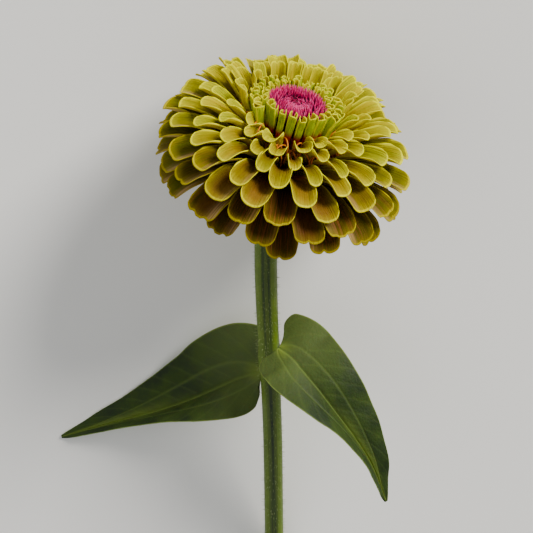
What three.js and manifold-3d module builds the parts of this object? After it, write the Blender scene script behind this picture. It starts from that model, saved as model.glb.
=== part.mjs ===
// A double zinnia, cut with its stem and one pair of leaves, lying on its back on a flat surface.
// The flower is first built upright, in millimetres: x to the viewer's right, y away from the viewer and
// z up the stem, with the origin on the head's axis at its widest level. A last group lays it down.
import * as THREE from "three";
import { mergeVertices } from "three/addons/utils/BufferGeometryUtils.js";
import Module from "manifold-3d";

const wasm = await Module();
wasm.setup();

// Driving dimensions of the head
const headLean = 12;
const petalCount = 134;
const petalsPerRow = 24;
const goldenAngle = 137.508;
const firstPetalAzimuth = 2.5;
const petalRootRadius = 7.6;
const coneTop = 12.2;
const coneBottom = -3.8;
const coneSides = 16;
const quillSides = 5;
const quillFunnel = 1.6;
const discRadius = 8;
const discTop = 21.4;
const discSpikes = 50;
const spikeHeight = 1.5;

// Driving dimensions of the stem and the leaves
const stemTop = -14;
const stemEnd = -150;
const stemSteps = 22;
const stemSides = 14;
const stemRidges = 4;
const ridgeDepth = 0.03;
const leafPairHeight = -67;

// Thin blades are this thick, and neighbouring pieces stay this far apart.
const bladeThickness = 0.7;
const clearance = 0.3;

// How the cut flower lies: turned about its stem, then tipped back, then set down on petal tips that the
// surface has pressed level at the lying depth
const restRoll = -0.55;
const restTip = -78.3;
const lyingDepth = 33;

// Ray petals from the lowest row up. Roots and tips are (distance from the axis, height).
// Rise and droop are the slopes of the petal at its root and its tip, and cup is how far round its
// cross-section bends.
const petalRows = [
  { rootZ: -2.6, tipR: 32.0, tipZ: -10.0, rise: 8, droop: -60, width: 9.8, cup: 50 },
  { rootZ: -0.8, tipR: 35.0, tipZ: -1.5, rise: 18, droop: -40, width: 9.5, cup: 58 },
  { rootZ: 1.0, tipR: 35.0, tipZ: 7.5, rise: 26, droop: -20, width: 8.6, cup: 80 },
  { rootZ: 2.8, tipR: 31.0, tipZ: 13.5, rise: 34, droop: -6, width: 7.0, cup: 105 },
  { rootZ: 4.4, tipR: 25.0, tipZ: 17.5, rise: 40, droop: 10, width: 5.5, cup: 130 },
  { rootZ: 6.4, tipR: 18.5, tipZ: 21.0, rise: 50, droop: 55, width: 4.4, cup: 150 },
];

// How much shorter and lower the petals of each row are on the viewer's side, and by how many degrees more
// their tips slope down, so that they fold outwards there and bare the young florets
const nearSide = [
  { shorter: 0, lower: 0, steeper: 0 },
  { shorter: 0, lower: 0, steeper: 0 },
  { shorter: 0.3, lower: 0.5, steeper: 4 },
  { shorter: 0.9, lower: 1.2, steeper: 14 },
  { shorter: 4.5, lower: 3.4, steeper: 36 },
  { shorter: 3.6, lower: 5.6, steeper: 80 },
];

// Tubular young florets round the disc, in an outer and an inner ring
const quillRings = [
  { count: 22, rootR: 7.8, rootZ: 8.6, tipR: 12.2, tipZ: 20.6, mouth: 1.2, foot: 0.8 },
  { count: 21, rootR: 7.0, rootZ: 10.4, tipR: 9.4, tipZ: 21.2, mouth: 1.0, foot: 0.75 },
];

// The innermost petals and the outer ring of young florets stop short of the viewer, where the cosine of
// the azimuth passes this.
const openSide = 0.6;

// How far each petal strays from the rule: in azimuth, tip, slope and twist, and sideways
const petalSway = { azimuth: 2.2, tip: 0.8, droop: 6, turn: 9, skew: 0.9 };

const radians = THREE.MathUtils.degToRad;

// A repeatable number from 0 to 1 for each pair of whole numbers
function draw(index, channel) {
  const value = Math.sin(index * 12.9898 + channel * 78.233) * 43758.5453;
  return value - Math.floor(value);
}

// The same draw from -1 to 1
function sway(index, channel) {
  return 2 * draw(index, channel) - 1;
}

// A value between the entries of a list of rows, by a row number that need not be whole
function between(rows, name, row) {
  const low = Math.min(Math.floor(row), rows.length - 2);
  return THREE.MathUtils.lerp(rows[low][name], rows[low + 1][name], row - low);
}

// A closed geometry from points and triangles, turned to face outwards
function closedGeometry(points, triangles) {
  let volume = 0;
  for (let k = 0; k < triangles.length; k += 3) {
    const [a, b, c] = [points[triangles[k]], points[triangles[k + 1]], points[triangles[k + 2]]];
    volume += a.dot(new THREE.Vector3().crossVectors(b, c));
  }
  const geometry = new THREE.BufferGeometry().setFromPoints(points);
  geometry.setIndex(volume > 0 ? triangles : [...triangles].reverse());
  return geometry;
}

// A closed body through rings that all have the same number of points
function loft(rings) {
  const count = rings[0].length;
  const last = (rings.length - 1) * count;
  const triangles = [];
  for (let start = 0; start < last; start += count) {
    for (let i = 0; i < count; i++) {
      const a = start + i;
      const b = start + ((i + 1) % count);
      triangles.push(a, b, b + count, a, b + count, a + count);
    }
  }
  for (let i = 1; i < count - 1; i++) {
    triangles.push(0, i + 1, i, last, last + i, last + i + 1);
  }
  return closedGeometry(rings.flat(), triangles);
}

// A thin blade between two grids of points, [station][across], split into triangles alike on both faces
function blade(upper, lower) {
  const stations = upper.length;
  const across = upper[0].length;
  const points = [...upper.flat(), ...lower.flat()];
  const under = stations * across;
  const triangles = [];
  const quad = (a, b, c, d) => triangles.push(a, b, c, a, c, d);
  for (let k = 0; k < stations - 1; k++) {
    for (let j = 0; j < across - 1; j++) {
      const a = k * across + j;
      const [b, c, d] = [a + 1, a + 1 + across, a + across];
      if (2 * j < across - 1) {
        triangles.push(a, b, c, a, c, d);
        triangles.push(a + under, c + under, b + under, a + under, d + under, c + under);
      } else {
        triangles.push(a, b, d, b, c, d);
        triangles.push(a + under, d + under, b + under, b + under, d + under, c + under);
      }
    }
    const left = k * across;
    const right = left + across - 1;
    quad(left, left + across, left + across + under, left + under);
    quad(right, right + under, right + across + under, right + across);
  }
  for (let j = 0; j < across - 1; j++) {
    const tip = (stations - 1) * across + j;
    quad(j + 1, j, j + under, j + 1 + under);
    quad(tip, tip + 1, tip + 1 + under, tip + under);
  }
  return closedGeometry(points, triangles);
}

// A geometry as a solid that can be joined or cut
function solidOf(geometry) {
  const bare = geometry.clone();
  bare.deleteAttribute("normal");
  bare.deleteAttribute("uv");
  const merged = mergeVertices(bare, 1e-4);
  const mesh = new wasm.Mesh({
    numProp: 3,
    vertProperties: merged.attributes.position.array,
    triVerts: new Uint32Array(merged.index.array),
  });
  return new wasm.Manifold(mesh);
}

// A solid back as a geometry
function geometryOf(solid) {
  const mesh = solid.getMesh();
  const geometry = new THREE.BufferGeometry();
  geometry.setAttribute("position", new THREE.BufferAttribute(mesh.vertProperties, 3));
  geometry.setIndex(new THREE.BufferAttribute(mesh.triVerts, 1));
  return geometry;
}

// Several closed geometries joined into one body, with the hollows that joining seals filled
function joined(geometries) {
  const whole = geometries.map(solidOf).reduce((sum, solid) => sum.add(solid));
  const largest = whole.decompose().reduce((a, b) => (a.volume() > b.volume() ? a : b));
  return geometryOf(largest);
}

// A body turned about the vertical from (radius, height) pairs that start and end on the axis
function turned(profile, sides) {
  const points = profile.map(([radius, height]) => new THREE.Vector2(radius, height));
  return new THREE.LatheGeometry(points, sides).rotateX(Math.PI / 2);
}

// A point of the head from its distance from the axis, its height and its azimuth from the viewer's side
function aroundHead(radius, height, azimuth) {
  return new THREE.Vector3(radius * Math.sin(azimuth), -radius * Math.cos(azimuth), height);
}

// A regular ring of points round a centre, square to a direction
function ringAround(centre, along, azimuth, radius, sides) {
  const side = new THREE.Vector3(Math.cos(azimuth), Math.sin(azimuth), 0);
  const other = new THREE.Vector3().crossVectors(along, side);
  return Array.from({ length: sides }, (_, corner) => {
    const angle = (corner * 2 * Math.PI) / sides;
    return centre
      .clone()
      .addScaledVector(side, radius * Math.cos(angle))
      .addScaledVector(other, radius * Math.sin(angle));
  });
}

// The midrib of a petal or a bract in its own (distance, height) plane, from the slopes at its two ends
function midrib(root, rise, tip, droop) {
  const reach = 0.36 * root.distanceTo(tip);
  const first = new THREE.Vector2(Math.cos(rise), Math.sin(rise)).multiplyScalar(reach).add(root);
  const second = new THREE.Vector2(Math.cos(droop), Math.sin(droop)).multiplyScalar(-reach).add(tip);
  return new THREE.CubicBezierCurve(root, first, second, tip);
}

// A cupped blade along a midrib. Each station is a share of the length, the share of the full width there
// and how far the edges stay back.
function cuppedBlade({ rib, azimuth, width, cup, stations, turn = 0, skew = 0 }) {
  const side = new THREE.Vector3(Math.cos(azimuth), Math.sin(azimuth), 0);
  const upper = [];
  const lower = [];
  for (const [share, wide, edgeBack] of stations) {
    const place = rib.getPoint(share);
    const slope = rib.getTangent(share);
    const outward = aroundHead(slope.x, slope.y, azimuth);
    const normal = aroundHead(-slope.y, slope.x, azimuth);
    const twisted = side.clone().applyAxisAngle(outward, turn * share);
    normal.applyAxisAngle(outward, turn * share);
    const bend = radians(cup) / 2;
    const half = (width / 2) * wide;
    const top = [];
    const bottom = [];
    for (const across of [-1, 0, 1]) {
      const point = aroundHead(place.x, place.y, azimuth)
        .addScaledVector(twisted, (half / bend) * Math.sin(bend * across) + skew * share * share)
        .addScaledVector(normal, (half / bend) * (1 - Math.cos(bend * across)))
        .addScaledVector(outward, -edgeBack * Math.abs(across));
      top.push(point.clone().addScaledVector(normal, bladeThickness / 2));
      bottom.push(point.addScaledVector(normal, -bladeThickness / 2));
    }
    upper.push(top);
    lower.push(bottom);
  }
  return blade(upper, lower);
}

// A petal's azimuth from the viewer's side
function petalAzimuth(index) {
  return radians(firstPetalAzimuth + index * goldenAngle + petalSway.azimuth * sway(index, 1));
}

// One ray petal: a narrow claw, a strap that widens outwards and a blunt round tip. Upper petals bend down
// towards the viewer and stand up on the far side, where the surface under the flower presses the tips level.
function rayPetal(index) {
  const { smoothstep } = THREE.MathUtils;
  const row = index / petalsPerRow;
  const azimuth = petalAzimuth(index);
  const farness = -Math.cos(azimuth);
  const near = smoothstep(-farness, -0.1, 0.9);
  const rolled = near * smoothstep(row, 3.6, 4.8);
  const far = smoothstep(farness, 0.1, 0.8) * smoothstep(row, 1, 3);
  const root = new THREE.Vector2(petalRootRadius, between(petalRows, "rootZ", row));
  const tip = new THREE.Vector2(
    between(petalRows, "tipR", row) - between(nearSide, "shorter", row) * near,
    between(petalRows, "tipZ", row) - between(nearSide, "lower", row) * near + far,
  );
  tip.x += petalSway.tip * sway(index, 2);
  tip.y += petalSway.tip * (1 + 0.6 * far) * sway(index, 3);
  if (farness > 0) {
    tip.x = Math.min(tip.x, (lyingDepth + 0.2 * tip.y) / farness);
  }
  const rise = radians(between(petalRows, "rise", row));
  const droop = between(petalRows, "droop", row) - between(nearSide, "steeper", row) * near;
  const claw = row < 2.5 ? [[0, 0.2, 0], [0.35, 0.5, 0], [0.67, 1, 0]] : [[0, 0.25, 0], [0.55, 0.95, 0]];
  return cuppedBlade({
    rib: midrib(root, rise, tip, radians(droop + petalSway.droop * sway(index, 4))),
    azimuth,
    width: between(petalRows, "width", row) * (1 + 0.3 * rolled + 0.15 * far),
    cup: between(petalRows, "cup", row) * (1 + 0.3 * rolled),
    turn: radians(petalSway.turn * sway(index, 5)),
    skew: petalSway.skew * sway(index, 6),
    stations: [...claw, [0.88, 0.94, 0], [1, 0.5, 0.6]],
  });
}

// One young floret, rolled into a tube that opens in a shallow funnel at its tip
function quill({ rootR, rootZ, tipR, tipZ, mouth, foot }, ring, index, azimuth) {
  const root = aroundHead(rootR, rootZ, azimuth);
  const tip = aroundHead(tipR, tipZ + 0.5 * sway(index, 7 + ring), azimuth);
  const along = tip.clone().sub(root).normalize();
  const funnel = tip.clone().addScaledVector(along, -quillFunnel);
  const section = (centre, radius) => ringAround(centre, along, azimuth, radius, quillSides);
  return loft([section(root, foot), section(tip, mouth), section(funnel, 0.12)]);
}

// The receptacle's cone, with every ray petal and young floret standing out of it
function rayPetals() {
  const profile = [
    [0, coneBottom],
    [8.2, coneBottom],
    [8.6, 0.5],
    [8.6, 9.5],
    [7.2, 11.6],
    [6.2, coneTop],
    [0, coneTop],
  ];
  const cone = turned(profile, coneSides);
  const florets = [];
  for (let index = 0; index < petalCount; index++) {
    const innermost = index / petalsPerRow >= petalRows.length - 1;
    if (!innermost || Math.cos(petalAzimuth(index)) < openSide) {
      florets.push(rayPetal(index));
    }
  }
  for (const [ring, sizes] of quillRings.entries()) {
    for (let index = 0; index < sizes.count; index++) {
      const azimuth = ((index + 0.5 * ring) * 2 * Math.PI) / sizes.count;
      if (ring > 0 || Math.cos(azimuth) < openSide) {
        florets.push(quill(sizes, ring, index, azimuth));
      }
    }
  }
  return joined([cone, ...florets]);
}

// The disc: a low dome with a dimple, its florets larger than life as spikes in a spiral
function disc() {
  const surface = (radius) => {
    const share = radius / discRadius;
    const dimple = 1.7 * (1 - share) ** 3;
    const roundedEdge = 1.4 * share ** 5;
    return discTop - spikeHeight - dimple - roundedEdge;
  };
  const profile = [
    [0, coneTop + clearance],
    [5.4, coneTop + clearance],
    [7, 16],
    [7.3, surface(7.3)],
    [5, surface(5)],
    [2, surface(2)],
    [0, surface(0)],
  ];
  const dome = turned(profile, 20);
  const spikes = Array.from({ length: discSpikes }, (_, index) => {
    const share = Math.sqrt((index + 0.6) / discSpikes);
    const radius = (discRadius - 1) * share;
    const azimuth = radians(index * goldenAngle);
    const root = aroundHead(radius, surface(radius) - 0.5, azimuth);
    const tip = aroundHead(radius + 1.3 * share - 0.5, surface(radius) + spikeHeight, azimuth);
    const along = tip.clone().sub(root).normalize();
    const section = (centre, radius) => ringAround(centre, along, azimuth, radius, 3);
    return loft([section(root, 0.7), section(tip, 0.25)]);
  });
  return joined([dome, ...spikes]);
}

// The green cup under the head, with its rows of overlapping bracts
function involucre() {
  const profile = [
    [0, stemTop + clearance],
    [4.3, stemTop + clearance],
    [5.6, -11],
    [8.4, -7.2],
    [9.2, -5],
    [8.8, coneBottom - clearance],
    [0, coneBottom - clearance],
  ];
  const cup = turned(profile, coneSides);
  const bractRows = [
    { count: 7, root: [4.6, -12.2], tip: [9.4, -7.8], rise: 20, droop: 62, width: 4.0 },
    { count: 9, root: [6.4, -9.2], tip: [10.6, -5.0], rise: 22, droop: 60, width: 4.4 },
  ];
  const bracts = bractRows.flatMap(({ count, root, tip, rise, droop, width }, row) =>
    Array.from({ length: count }, (_, index) =>
      cuppedBlade({
        rib: midrib(new THREE.Vector2(...root), radians(rise), new THREE.Vector2(...tip), radians(droop)),
        azimuth: ((index + row / 2) * 2 * Math.PI) / count,
        width,
        cup: 50,
        stations: [
          [0, 0.9, 0],
          [0.6, 1, 0],
          [1, 0.5, 0.4],
        ],
      }),
    ),
  );
  return joined([cup, ...bracts]);
}

// The stem's centre line, from under the head down to the cut
const leanAxis = new THREE.Vector3(0, 1, 0);
const stemPoints = [
  new THREE.Vector3(0, 0, stemTop).applyAxisAngle(leanAxis, radians(headLean)),
  new THREE.Vector3(0, 0, stemTop - 6).applyAxisAngle(leanAxis, radians(headLean)),
  new THREE.Vector3(-4.5, 0, -32),
  new THREE.Vector3(-4.2, 0, -50),
  new THREE.Vector3(-3.4, 0, -72),
  new THREE.Vector3(-2.7, 0, -95),
  new THREE.Vector3(-2.4, 0, -122),
  new THREE.Vector3(-2.2, 0, stemEnd),
];
const stemLine = new THREE.CatmullRomCurve3(stemPoints);

// The stem's radius by height: it tapers downwards and swells under the head and at the leaf pair
function stemRadius(height) {
  const neckSwelling = 0.7 * THREE.MathUtils.smoothstep(height, -24, stemTop);
  const nodeSwelling = 0.5 * Math.exp(-(((height - leafPairHeight) / 5) ** 2));
  const taper = THREE.MathUtils.lerp(3.15, 3.6, THREE.MathUtils.smoothstep(height, -90, -30));
  return taper + neckSwelling + nodeSwelling;
}

// The stem, with low ridges along it
function stem() {
  const rings = [];
  for (let step = 0; step <= stemSteps; step++) {
    const centre = stemLine.getPoint(step / stemSteps);
    const along = stemLine.getTangent(step / stemSteps);
    const side = new THREE.Vector3(0, 1, 0).cross(along).normalize();
    const front = new THREE.Vector3().crossVectors(along, side);
    const radius = stemRadius(centre.z);
    rings.push(
      Array.from({ length: stemSides }, (_, corner) => {
        const angle = (corner * 2 * Math.PI) / stemSides;
        const grooved = radius * (1 - ridgeDepth * (1 - Math.cos(stemRidges * angle)));
        return centre
          .clone()
          .addScaledVector(side, grooved * Math.cos(angle))
          .addScaledVector(front, grooved * Math.sin(angle));
      }),
    );
  }
  return loft(rings);
}

// A point moved straight out from the stem, where it is nearer than a leaf may come
function clearOfStem(point) {
  const below = stemPoints.findIndex((place) => place.z < point.z);
  const [upper, lower] = [stemPoints[below - 1], stemPoints[below]];
  const share = (upper.z - point.z) / (upper.z - lower.z);
  const away = new THREE.Vector3().lerpVectors(upper, lower, share).sub(point).negate();
  const nearest = stemRadius(point.z) + clearance + 0.3 * bladeThickness;
  const distance = Math.hypot(away.x, away.y);
  if (distance < nearest) {
    const push = nearest / distance - 1;
    point.add(new THREE.Vector3(away.x * push, away.y * push, 0));
  }
  return point;
}

// A clasping leaf. Each station is a share of its length, then the half width and the fold of its upper
// side and of its lower side, with edges that curl down. The lobes reach back past the stalkless base.
// Hand is 1 for a leaf to the viewer's right and -1 for one to the left.
function leaf({ hand, line, facingRoot, facingTip, lobes, stations }) {
  const rib = new THREE.CatmullRomCurve3(line.map((point) => new THREE.Vector3(...point)));
  const upper = [];
  const lower = [];
  for (const [share, ...sides] of stations) {
    const centre = rib.getPointAt(share);
    const along = rib.getTangentAt(share);
    const facing = new THREE.Vector3(...facingRoot).lerp(new THREE.Vector3(...facingTip), share);
    const side = new THREE.Vector3().crossVectors(facing, along).setLength(hand);
    const normal = new THREE.Vector3().crossVectors(along, side).setLength(hand);
    const backwards = (1 - share) ** 8;
    const curl = 0.01;
    const top = [];
    const bottom = [];
    for (const across of [1, 0.5, 0, -0.5, -1]) {
      const which = across > 0 ? 0 : 1;
      const half = sides[2 * which] * Math.abs(across);
      const fold = radians(sides[2 * which + 1]);
      const point = centre
        .clone()
        .addScaledVector(side, Math.sign(across) * half * Math.cos(fold))
        .addScaledVector(normal, half * Math.sin(fold) - curl * half * half)
        .addScaledVector(along, -lobes[which] * backwards * across * across);
      clearOfStem(point);
      top.push(point.clone().addScaledVector(normal, bladeThickness / 2));
      bottom.push(point.addScaledVector(normal, -bladeThickness / 2));
    }
    upper.push(top);
    lower.push(bottom);
  }
  return blade(upper, lower);
}

// The left leaf starts behind the stem and reaches back and down.
const leftLeaf = {
  hand: -1,
  line: [
    [-5.5, 2.7, -74.5],
    [-13.2, 4.6, -79],
    [-26, 7, -88],
    [-37, 8.5, -94],
    [-49, 9.8, -99],
    [-67, 11, -106],
  ],
  facingRoot: [-0.1, -0.85, 0.5],
  facingTip: [-0.1, -0.7, 0.7],
  lobes: [7, -4],
  stations: [
    [0, 9, 5, 6.5, 10],
    [0.04, 14, 6, 10, 16],
    [0.12, 16.5, 8, 12, 30],
    [0.24, 16, 10, 12.5, 48],
    [0.38, 13.5, 10, 11, 60],
    [0.53, 10.5, 10, 8.5, 66],
    [0.68, 7, 10, 6, 64],
    [0.84, 3.8, 10, 3.4, 56],
    [1, 0.4, 0, 0.4, 0],
  ],
};

// The right leaf starts in front of the stem and hangs forward and down.
const rightLeaf = {
  hand: 1,
  line: [
    [-0.9, -2.9, -61.6],
    [2.9, -6.6, -62.4],
    [5.5, -9.3, -64.2],
    [10.6, -13.5, -68.8],
    [15.9, -16.5, -75.2],
    [21.1, -19, -82],
    [25.8, -21, -89.6],
    [30.7, -22, -103.5],
  ],
  facingRoot: [0.1, -0.75, 0.6],
  facingTip: [0.35, -0.85, 0.4],
  lobes: [6, 3],
  stations: [
    [0, 8, 0, 6.5, 0],
    [0.04, 11.5, 4, 9, 6],
    [0.12, 13, 8, 10.5, 14],
    [0.24, 13, 12, 11, 32],
    [0.38, 12, 14, 10, 48],
    [0.53, 10, 14, 8, 60],
    [0.68, 7.2, 14, 5.8, 62],
    [0.84, 4, 12, 3.4, 56],
    [1, 0.4, 0, 0.4, 0],
  ],
};

// A piece's finish: colour, roughness and no metal
function finish(color, roughness) {
  return new THREE.MeshStandardMaterial({ color, roughness, metalness: 0 });
}

// A piece of the flower under its own name
function piece(name, geometry, material) {
  const mesh = new THREE.Mesh(geometry, material);
  mesh.name = name;
  return mesh;
}

const head = new THREE.Group();
head.rotation.y = radians(headLean);
head.add(
  piece("ray_petals", rayPetals(), finish(0xc9c40f, 0.6)),
  piece("disc", disc(), finish(0xb5155a, 0.7)),
  piece("involucre", involucre(), finish(0x4c6a1c, 0.6)),
);

const flower = new THREE.Group();
flower.add(
  head,
  piece("stem", stem(), finish(0x4f6b14, 0.55)),
  piece("leaf_left", leaf(leftLeaf), finish(0x3f5524, 0.65)),
  piece("leaf_right", leaf(rightLeaf), finish(0x4a622a, 0.65)),
);
flower.rotation.set(radians(restTip), 0, radians(restRoll));

// The lying flower is set down with the middle of its box over the origin.
const zinnia = new THREE.Group();
zinnia.add(flower);
zinnia.updateMatrixWorld(true);
const extent = new THREE.Box3().setFromObject(flower, true);
flower.position.set(
  -(extent.min.x + extent.max.x) / 2,
  -(extent.min.y + extent.max.y) / 2,
  -extent.min.z,
);

export default zinnia;
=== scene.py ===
# %% [markdown]
# # A cut zinnia
# This script dresses a double zinnia that lies on its back on a pale surface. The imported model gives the
# real sizes: a head 70 mm wide, a stem and two leaves. Each piece here stands for one of its solids and
# keeps that solid's form, with far finer petals, florets, veins and hairs.
#
# The flower is described the way it grows, upright and in millimetres: x to the viewer's right, y away
# from the viewer and z up the stem, with the origin on the head's axis where the head is widest.

# %% Load the fixed frame
import math
import bpy
import numpy as np
from mathutils import Matrix, Vector


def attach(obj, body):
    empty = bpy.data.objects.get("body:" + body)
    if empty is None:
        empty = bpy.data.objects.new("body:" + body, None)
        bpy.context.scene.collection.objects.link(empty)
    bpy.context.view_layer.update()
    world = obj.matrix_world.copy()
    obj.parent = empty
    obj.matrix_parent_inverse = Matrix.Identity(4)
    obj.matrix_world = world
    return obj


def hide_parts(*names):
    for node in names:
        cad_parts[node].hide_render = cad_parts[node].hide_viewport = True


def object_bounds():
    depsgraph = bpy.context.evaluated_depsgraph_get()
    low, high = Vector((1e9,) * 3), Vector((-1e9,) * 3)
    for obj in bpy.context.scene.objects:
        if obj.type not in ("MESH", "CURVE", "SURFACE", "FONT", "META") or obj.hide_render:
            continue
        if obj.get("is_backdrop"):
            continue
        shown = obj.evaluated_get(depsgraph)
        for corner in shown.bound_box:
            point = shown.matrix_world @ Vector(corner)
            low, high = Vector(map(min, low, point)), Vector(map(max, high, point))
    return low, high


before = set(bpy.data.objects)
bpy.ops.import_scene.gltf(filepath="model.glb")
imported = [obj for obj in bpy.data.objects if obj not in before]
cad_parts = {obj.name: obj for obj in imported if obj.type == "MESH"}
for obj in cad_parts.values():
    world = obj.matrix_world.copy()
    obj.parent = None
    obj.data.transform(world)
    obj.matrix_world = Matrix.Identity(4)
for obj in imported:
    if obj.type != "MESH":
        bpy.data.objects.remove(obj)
cad_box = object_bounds()
scene = bpy.context.scene
print("nodes", sorted(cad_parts))

# %% [markdown]
# ## From the growing flower to the lying one
# The flower is turned a little about its stem and tipped back until it lies on its petals. Where it lies
# in the frame can be read from the stem: the middle of its top ring is 14 mm under the head's origin, along
# the head's leaning axis. One matrix then takes any upright millimetre to its place in metres.

# %% The matrix that lays the flower down
MM = 0.001
head_lean = math.radians(12)
rest_roll = math.radians(-0.55)
rest_tip = math.radians(-78.3)
stem_top = -14
ring_depth = 0.01 * MM

turn_down = Matrix.Rotation(rest_tip, 4, "X") @ Matrix.Rotation(rest_roll, 4, "Z")
head_turn = Matrix.Rotation(head_lean, 4, "Y")
head_axis = head_turn @ Vector((0, 0, 1))


def top_ring_middle(node):
    """The middle of a stem's top ring of vertices, in the row frame."""
    axis = turn_down @ head_axis
    places = [vertex.co.copy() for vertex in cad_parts[node].data.vertices]
    top = max(place.dot(axis) for place in places)
    ring = {tuple(round(c, 6) for c in place) for place in places if place.dot(axis) > top - ring_depth}
    return sum((Vector(place) for place in ring), Vector()) / len(ring)


flower_place = top_ring_middle("stem") - turn_down @ (head_axis * stem_top * MM)
lay_down = Matrix.Translation(flower_place) @ turn_down @ Matrix.Scale(MM, 4)
lay_head_down = lay_down @ head_turn
print("head's origin in the frame, mm:", [round(c / MM, 2) for c in flower_place])

# %% [markdown]
# ## The camera
# The photograph looks down at the upright head from 33 degrees above the horizontal. A long lens from
# 720 mm gives the same perspective. The camera is placed against the upright flower and laid down with it,
# so it looks down on the flower where it lies. The head's origin is right of the middle and high in the
# picture, so the camera aims below it and to its left.

# %% A camera at the photograph's viewing angle
view_elevation = math.radians(33)
view_distance = 720
view_width = 148
aim_below = 28.4
aim_left = 4.2


def in_scene(name, data):
    """An object that puts a camera, a light or a mesh into the scene."""
    thing = bpy.data.objects.new(name, data)
    scene.collection.objects.link(thing)
    return thing


towards_camera = Vector((0, -math.cos(view_elevation), math.sin(view_elevation)))
image_up = Vector((0, math.sin(view_elevation), math.cos(view_elevation)))
eye = towards_camera * view_distance
aim = -image_up * aim_below - Vector((1, 0, 0)) * aim_left
back = (eye - aim).normalized()
right = image_up.cross(back).normalized()
camera_turn = Matrix((right, back.cross(right), back)).transposed().to_4x4()

camera_data = bpy.data.cameras.new("camera")
camera_data.sensor_width = 36
camera_data.lens = camera_data.sensor_width * view_distance / view_width
camera = in_scene("camera", camera_data)
camera.matrix_world = Matrix.Translation(lay_down @ eye) @ turn_down @ camera_turn
scene.camera = camera
print("lens, mm:", round(camera_data.lens, 1))

# %% [markdown]
# ## Arithmetic in node trees
# Petals and colours follow rules, and in Blender a rule is a tree of Math nodes. Written one by one those
# nodes hide the rule, so this small class lets a formula be written as a formula. Every plus, times or
# sine adds its Math node to the tree.

# %% Fields
def math_node(operation):
    """A method that adds one Math node to a field's tree and gives back its result."""
    def method(self, *others):
        node = self.tree.nodes.new("ShaderNodeMath")
        node.operation = operation
        for value, socket in zip((self, *others), node.inputs):
            plug(value, socket)
        return Field(self.tree, node.outputs[0])

    return method


class Field:
    """A value in a node tree that can be used in a formula."""

    def __init__(self, tree, socket):
        self.tree = tree
        self.socket = socket

    __add__ = __radd__ = math_node("ADD")
    __sub__ = math_node("SUBTRACT")
    __mul__ = __rmul__ = math_node("MULTIPLY")
    __truediv__ = math_node("DIVIDE")
    __pow__ = math_node("POWER")
    __abs__ = math_node("ABSOLUTE")
    sin = math_node("SINE")
    cos = math_node("COSINE")
    arctan2 = math_node("ARCTAN2")
    square_root = math_node("SQRT")
    at_least = math_node("MAXIMUM")

    def __rsub__(self, other):
        return (self * -1) + other

    def rise(self, low, high):
        """0 up to the low value, 1 from the high one, and a smooth step between them."""
        places = {"Value": self, "From Min": low, "From Max": high}
        return add(self.tree, "ShaderNodeMapRange", places, interpolation_type="SMOOTHSTEP")

    def curve(self, points):
        """The value read from a smooth curve through (place, value) points between 0 and 1."""
        shaped = add(self.tree, "ShaderNodeFloatCurve", {"Value": self})
        mapping = shaped.socket.node.mapping
        line = mapping.curves[0]
        while len(line.points) < len(points):
            line.points.new(0.5, 0.5)
        for point, place in zip(line.points, points):
            point.location = place
        mapping.update()
        return shaped


print("fields ready")

# %% Adding and linking nodes
def plug(value, socket):
    """Links a field to a socket, or gives the socket a plain value."""
    if isinstance(value, Field):
        value.tree.links.new(value.socket, socket)
    else:
        socket.default_value = value


def add(tree, kind, inputs=None, output=0, **settings):
    """Adds a node and gives back one of its outputs as a field."""
    node = tree.nodes.new(kind)
    for name, value in settings.items():
        setattr(node, name, value)
    for key, value in (inputs or {}).items():
        plug(value, node.inputs[key])
    return Field(tree, node.outputs[output])


def combine(x, y, z):
    """A vector from three numbers, of which the first is a field."""
    return add(x.tree, "ShaderNodeCombineXYZ", {0: x, 1: y, 2: z})


def separate(vector):
    """The three numbers of a vector."""
    split = add(vector.tree, "ShaderNodeSeparateXYZ", {0: vector}).socket.node
    return [Field(vector.tree, socket) for socket in split.outputs]


print("node helpers ready")

# %% [markdown]
# ## Growing a mesh from a tree
# Each Geometry Nodes tree has named inputs for its sizes and ends in Realize Instances and Set Material. It
# runs on a guide: a mesh with one vertex for each repeat, or for each step along the stem, and each vertex
# carries numbers of its own as attributes. The result is taken as a plain mesh, and the guide and its
# modifier are thrown away.

# %% Trees with named inputs
SOCKETS = {float: "NodeSocketFloat", int: "NodeSocketInt", type(None): "NodeSocketMaterial"}


def name_inputs(tree, inputs):
    """Gives a tree its named inputs, each with a default value, and gives them back as fields."""
    for label, default in inputs.items():
        socket = tree.interface.new_socket(label, in_out="INPUT", socket_type=SOCKETS[type(default)])
        if default is not None:
            socket.default_value = default
    entry = tree.nodes.new("NodeGroupInput")
    return {socket.name: Field(tree, socket) for socket in entry.outputs if socket.name}


def new_tree(name, inputs):
    """A Geometry Nodes tree that takes and gives a geometry, and its inputs as fields."""
    tree = bpy.data.node_groups.new(name, "GeometryNodeTree")
    for way in ("OUTPUT", "INPUT"):
        tree.interface.new_socket("Geometry", in_out=way, socket_type="NodeSocketGeometry")
    return tree, name_inputs(tree, inputs)


def close_group(value):
    """Sends a value to the group's output and gives back the finished group."""
    plug(value, value.tree.nodes.new("NodeGroupOutput").inputs[0])
    return value.tree


print("sockets for:", [kind.__name__ for kind in SOCKETS])

# %% Steps in a geometry tree
def then(geometry, kind, inputs=None, output=0, **settings):
    """The next node on a geometry, which goes into the node's first socket."""
    return add(geometry.tree, f"GeometryNode{kind}", {0: geometry, **(inputs or {})}, output, **settings)


def close_tree(geometry, material):
    """Ends a tree in Realize Instances and Set Material."""
    return close_group(then(then(geometry, "RealizeInstances"), "SetMaterial", {"Material": material}))


def named(tree, *names):
    """Numbers that the geometry carries as attributes."""
    kind = "GeometryNodeInputNamedAttribute"
    return [add(tree, kind, {"Name": name}, data_type="FLOAT") for name in names]


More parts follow.
